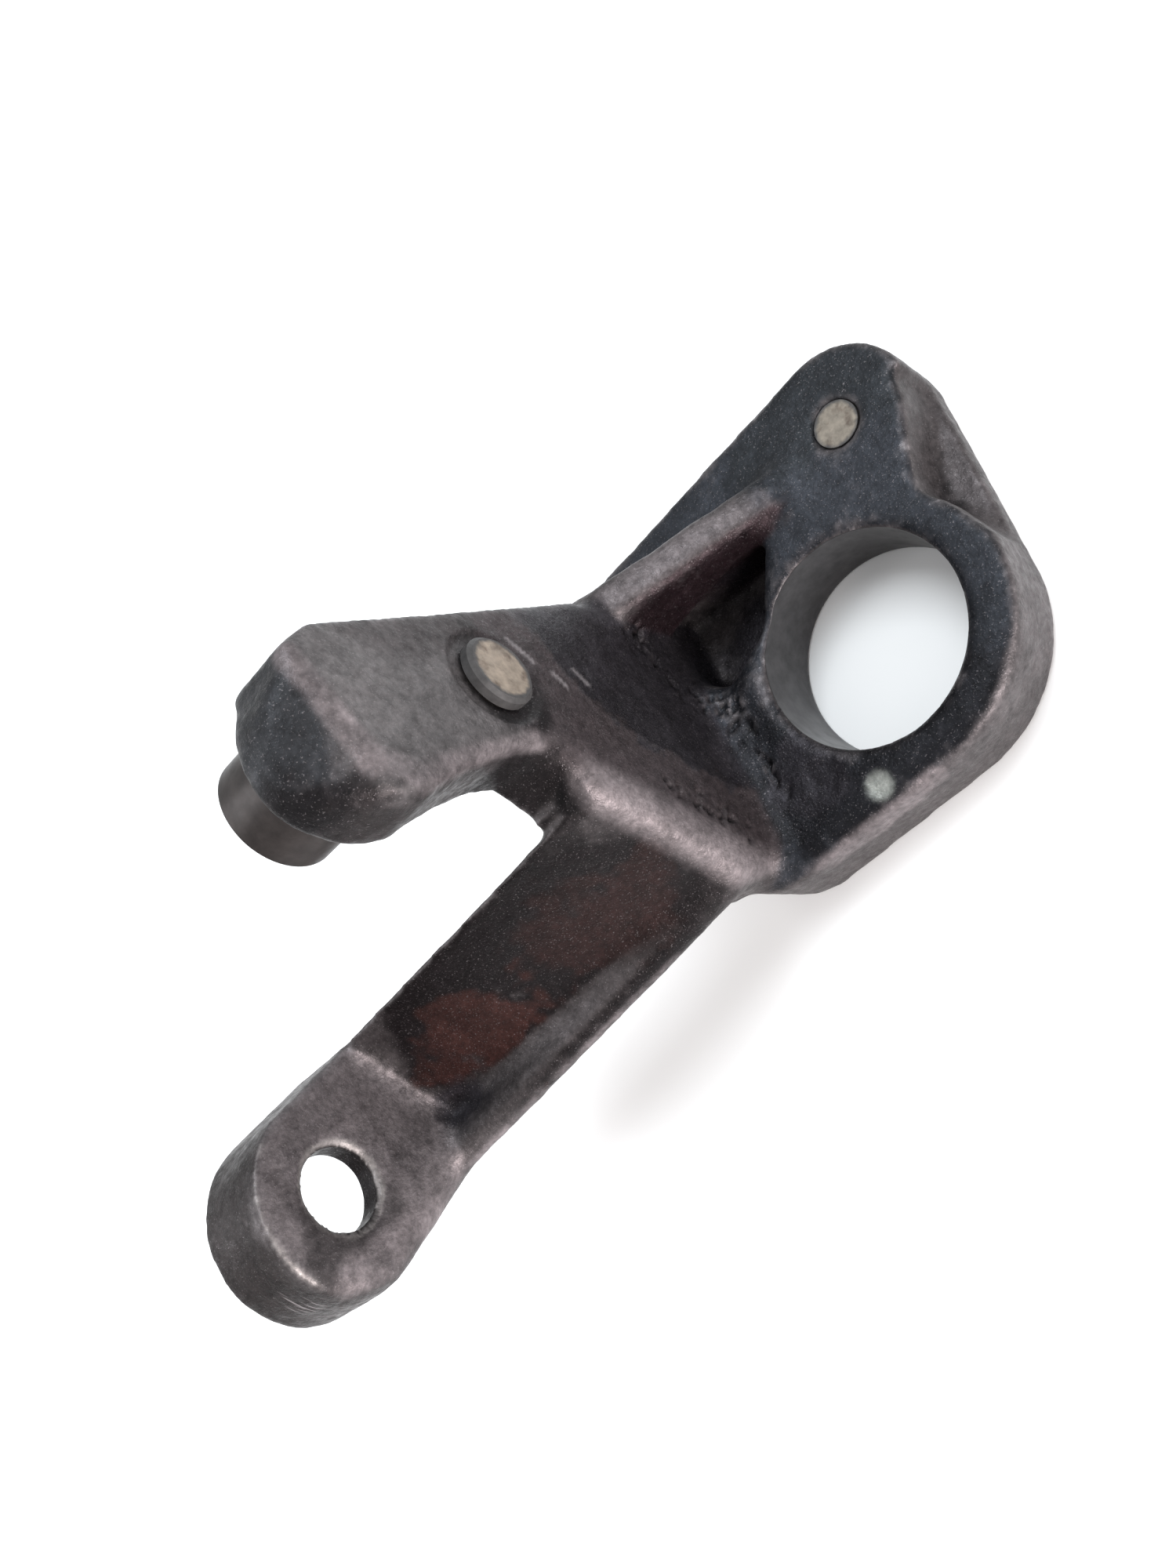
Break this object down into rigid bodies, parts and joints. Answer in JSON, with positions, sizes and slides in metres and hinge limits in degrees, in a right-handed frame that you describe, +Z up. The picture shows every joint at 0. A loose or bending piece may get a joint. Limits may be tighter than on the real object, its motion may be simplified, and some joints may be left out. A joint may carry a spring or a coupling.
{
  "type": "cast lever bracket",
  "caption": "Cast steel lever bracket: a flanged bored ring with an ear, a braced wall, a short arm with a stud and a nose pin, and a long arm ending in an eye.",
  "frame": {"origin": "centre of the ring's bore at the flange's underside", "axes": "+Z up the bore, towards the short arm; the long arm leaves towards -X; +Y towards the ear"},
  "size_m": [0.1205, 0.0831, 0.0853],
  "materials": {
    "cast_skin": "dark shot-blasted casting skin with worn bright edges",
    "pin_end": "pale stained pin end",
    "turned_steel": "smooth turned steel"
  },
  "bodies": {
    "root": {"bracket_casting": "cast_skin", "ear_plug": "pin_end", "arm_stud": "pin_end", "nose_pin": "turned_steel"}
  },
  "joints": []
}
